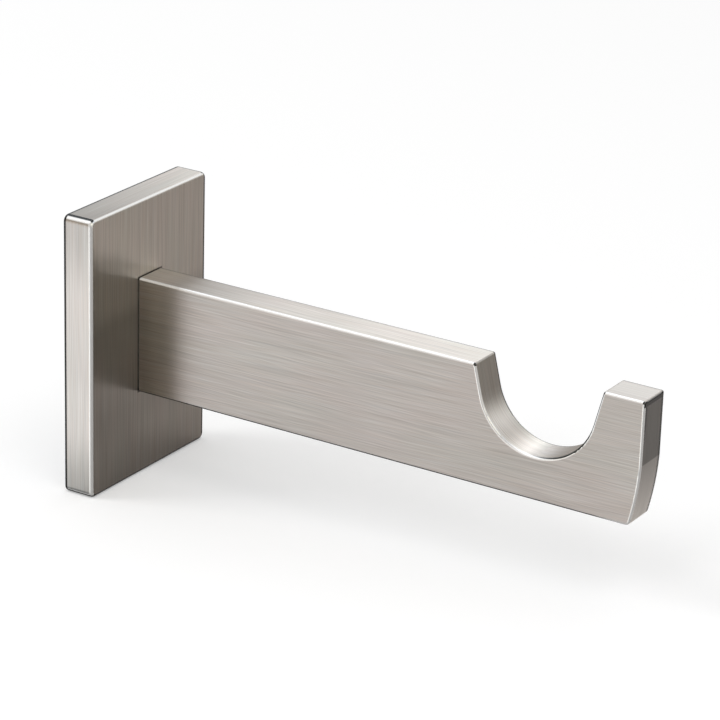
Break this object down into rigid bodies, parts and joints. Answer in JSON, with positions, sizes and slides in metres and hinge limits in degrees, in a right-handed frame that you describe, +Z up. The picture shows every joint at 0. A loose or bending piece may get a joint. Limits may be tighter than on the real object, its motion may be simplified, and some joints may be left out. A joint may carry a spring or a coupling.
{
  "type": "curtain rod bracket",
  "caption": "Flat-bar curtain rod bracket: an open cradle with a nose holds a round rod, and a rectangular cover plate hides its hook-on wall mounting.",
  "frame": {"origin": "on the wall plane, behind the middle of the cover plate's outline", "axes": "+X out from the wall along the arm, +Y along the rod, +Z up"},
  "size_m": [0.123, 0.04, 0.06],
  "materials": {
    "brushed_nickel": "fine straight brush marks along each face, satin, with bright broken edges",
    "zinc_plated_steel": "bright zinc plate on rolled steel, dull",
    "stainless_fastener": "turned stainless steel, satin"
  },
  "bodies": {
    "root": {"cover_plate": "brushed_nickel", "arm": "brushed_nickel", "mounting_plate": "zinc_plated_steel", "arm_screws": "stainless_fastener", "grub_screw": "stainless_fastener"}
  },
  "joints": []
}
